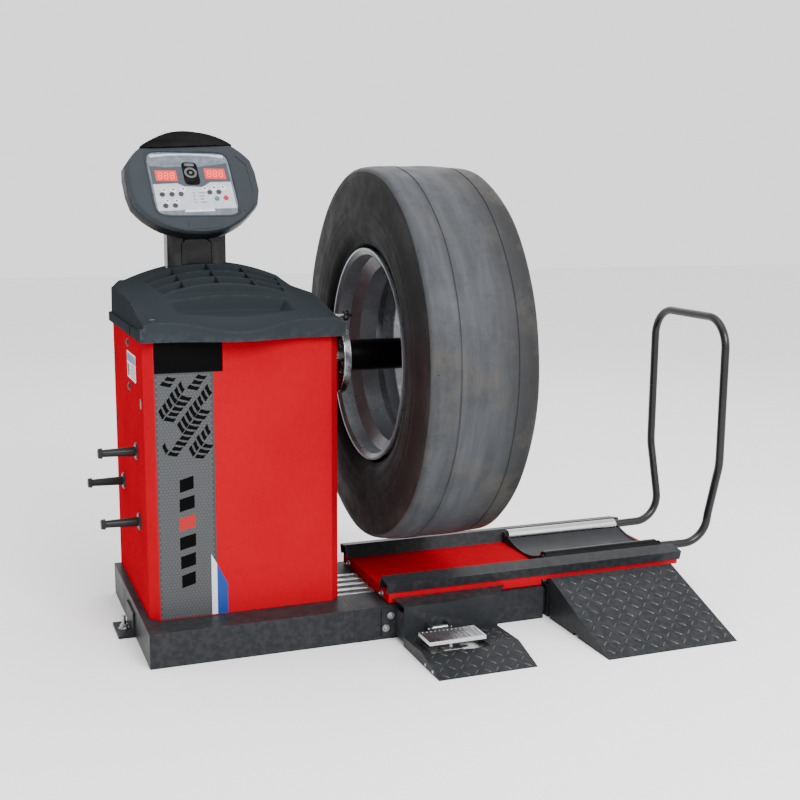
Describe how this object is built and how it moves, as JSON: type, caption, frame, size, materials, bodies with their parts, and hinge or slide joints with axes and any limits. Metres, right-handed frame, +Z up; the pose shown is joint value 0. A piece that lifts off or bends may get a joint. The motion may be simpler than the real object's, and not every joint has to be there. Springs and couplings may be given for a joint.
{
  "type": "wheel balancer machine",
  "caption": "Truck wheel balancer: red cabinet with weight tray and display, wheel on a spindle over a lift with sliding roller trolley, ramp and foot pedal.",
  "frame": {"origin": "on the floor, below the spindle axis, in the plane of the flange disc's outer face", "axes": "+X along the spindle away from the cabinet, +Y towards the machine's back, +Z up"},
  "size_m": [1.8305, 1.085, 1.3888],
  "materials": {
    "paint_dark": "satin anthracite powder coat",
    "paint_red": "gloss red powder coat",
    "black_paint": "semi-gloss black",
    "black_steel": "blackened steel",
    "grey_plastic": "fine-grained dark grey",
    "black_plastic": "matte black",
    "zinc": "zinc plated",
    "steel": "ground bright steel",
    "aluminium": "brushed, anodised",
    "rim_silver": "silver wheel paint",
    "tyre": "worn, matte rubber",
    "belt_rubber": "ribbed black rubber",
    "motor_paint": "blue-grey enamel",
    "board": "green solder mask",
    "keypad_foil": "printed silver foil",
    "led_red": "smoked red window",
    "brass": "satin",
    "switch_red": "gloss red",
    "key_black": "gloss black",
    "key_green": "gloss green",
    "key_red": "gloss red"
  },
  "bodies": {
    "machine": {"base_frame": "paint_dark", "base_extension": "paint_dark", "base_brackets": "paint_dark", "rail_cover": "aluminium", "anchor_bolts": "zinc", "cabinet_shell": "paint_red", "cabinet_back_panel": "paint_red", "weight_tray_lid": "grey_plastic", "tool_pegs": "black_plastic", "side_plugs": "black_plastic", "spindle_bracket": "paint_dark", "spindle_housing": "paint_dark", "spindle_bearings": "steel", "force_sensors": "steel", "drive_motor": "motor_paint", "drive_belt": "belt_rubber", "control_board": "board", "display_column": "black_paint", "display_shell": "black_plastic", "display_bezel": "grey_plastic", "keypad_panel": "keypad_foil", "led_windows": "led_red", "lift_cylinder": "zinc", "pedal_box": "paint_dark", "pedal_valve": "zinc", "ramp": "paint_dark", "loading_stand": "paint_dark", "mains_inlet": "black_plastic", "air_inlet": "brass"},
    "spindle": {"main_shaft": "steel", "shaft_pulley": "zinc", "flange_disc": "steel", "shaft_sleeve": "black_steel", "centering_cone": "zinc", "wheel_rim": "rim_silver", "tyre": "tyre"},
    "clamp_nut": {"clamp_nut": "zinc"},
    "motor_pulley": {"motor_pulley": "zinc"},
    "arms_left": {"lift_arms_left": "paint_dark"},
    "arms_right": {"lift_arms_right": "paint_dark"},
    "platform": {"platform_deck": "paint_red", "platform_rails": "paint_dark"},
    "cylinder_rod": {"cylinder_rod": "steel"},
    "trolley": {"tray_trolley": "paint_dark", "trolley_handle": "black_paint"},
    "roller_front": {"roller_front": "steel"},
    "roller_rear": {"roller_rear": "steel"},
    "gauge": {"gauge_rod": "steel", "gauge_knob": "black_plastic"},
    "foot_pedal": {"foot_pedal": "aluminium"},
    "power_switch": {"power_switch": "switch_red"},
    "key_menu": {"key_menu": "key_black"},
    "key_next": {"key_next": "key_black"},
    "key_mode": {"key_mode": "key_black"},
    "key_minus": {"key_minus": "key_black"},
    "key_plus": {"key_plus": "key_black"},
    "key_width": {"key_width": "key_black"},
    "key_offset": {"key_offset": "key_black"},
    "key_start": {"key_start": "key_green"},
    "key_stop": {"key_stop": "key_red"}
  },
  "joints": [
    {"name": "spindle_spin", "type": "hinge", "parent": "machine", "child": "spindle", "pos_m": [0, 0, 0.765], "axis": [1, 0, 0], "continuous": true},
    {"name": "nut_slide", "type": "slide", "parent": "spindle", "child": "clamp_nut", "axis": [1, 0, 0], "range_m": [0, 0.06]},
    {"name": "motor_spin", "type": "hinge", "parent": "machine", "child": "motor_pulley", "pos_m": [0, 0.175, 0.56], "axis": [1, 0, 0], "continuous": true},
    {"name": "lift_swing", "type": "hinge", "parent": "machine", "child": "arms_left", "pos_m": [0.35, 0, 0.03], "axis": [0, 1, 0], "range_deg": [0, 26.5]},
    {"name": "platform_level", "type": "hinge", "parent": "arms_left", "child": "platform", "pos_m": [0.16179, 0, 0.056], "axis": [0, 1, 0], "range_deg": [-26.51, 0]},
    {"name": "arms_right_swing", "type": "hinge", "parent": "machine", "child": "arms_right", "pos_m": [0.52, 0, 0.03], "axis": [0, 1, 0], "range_deg": [0, 26.51]},
    {"name": "cylinder_stroke", "type": "slide", "parent": "machine", "child": "cylinder_rod", "axis": [1, 0, 0], "range_m": [0, 0.0262]},
    {"name": "trolley_slide", "type": "slide", "parent": "platform", "child": "trolley", "axis": [1, 0, 0], "range_m": [-0.5, 0]},
    {"name": "roller_front_spin", "type": "hinge", "parent": "trolley", "child": "roller_front", "pos_m": [0, -0.122, 0.151], "axis": [1, 0, 0], "continuous": true},
    {"name": "roller_rear_spin", "type": "hinge", "parent": "trolley", "child": "roller_rear", "pos_m": [0, 0.122, 0.151], "axis": [1, 0, 0], "continuous": true},
    {"name": "gauge_slide", "type": "slide", "parent": "machine", "child": "gauge", "axis": [1, 0, 0], "range_m": [0, 0.2]},
    {"name": "pedal_press", "type": "hinge", "parent": "machine", "child": "foot_pedal", "pos_m": [0, -0.312, 0.052], "axis": [1, 0, 0], "range_deg": [0, 7], "stiffness_Nm_per_rad": 8, "springref_deg": -14.32},
    {"name": "power_rocker", "type": "hinge", "parent": "machine", "child": "power_switch", "pos_m": [-0.41, 0.4235, 0.19], "axis": [1, 0, 0], "range_deg": [-16, 0]},
    {"name": "key_menu_press", "type": "slide", "parent": "machine", "child": "key_menu", "axis": [0.055, -0.7861, 0.6157], "range_m": [-0.0015, 0], "stiffness_N_per_m": 300, "springref_m": 0.001},
    {"name": "key_next_press", "type": "slide", "parent": "machine", "child": "key_next", "axis": [0.055, -0.7861, 0.6157], "range_m": [-0.0015, 0], "stiffness_N_per_m": 300, "springref_m": 0.001},
    {"name": "key_mode_press", "type": "slide", "parent": "machine", "child": "key_mode", "axis": [0.055, -0.7861, 0.6157], "range_m": [-0.0015, 0], "stiffness_N_per_m": 300, "springref_m": 0.001},
    {"name": "key_minus_press", "type": "slide", "parent": "machine", "child": "key_minus", "axis": [0.055, -0.7861, 0.6157], "range_m": [-0.0015, 0], "stiffness_N_per_m": 300, "springref_m": 0.001},
    {"name": "key_plus_press", "type": "slide", "parent": "machine", "child": "key_plus", "axis": [0.055, -0.7861, 0.6157], "range_m": [-0.0015, 0], "stiffness_N_per_m": 300, "springref_m": 0.001},
    {"name": "key_width_press", "type": "slide", "parent": "machine", "child": "key_width", "axis": [0.055, -0.7861, 0.6157], "range_m": [-0.0015, 0], "stiffness_N_per_m": 300, "springref_m": 0.001},
    {"name": "key_offset_press", "type": "slide", "parent": "machine", "child": "key_offset", "axis": [0.055, -0.7861, 0.6157], "range_m": [-0.0015, 0], "stiffness_N_per_m": 300, "springref_m": 0.001},
    {"name": "key_start_press", "type": "slide", "parent": "machine", "child": "key_start", "axis": [0.055, -0.7861, 0.6157], "range_m": [-0.0015, 0], "stiffness_N_per_m": 300, "springref_m": 0.001},
    {"name": "key_stop_press", "type": "slide", "parent": "machine", "child": "key_stop", "axis": [0.055, -0.7861, 0.6157], "range_m": [-0.0015, 0], "stiffness_N_per_m": 300, "springref_m": 0.001}
  ],
  "couplings": [
    {"joint": "motor_spin", "follows": "spindle_spin", "ratio": 3.3451},
    {"joint": "platform_level", "follows": "lift_swing", "ratio": -1},
    {"joint": "arms_right_swing", "follows": "lift_swing", "ratio": 1},
    {"joint": "cylinder_stroke", "follows": "lift_swing", "m_per_rad": 0.0555}
  ]
}
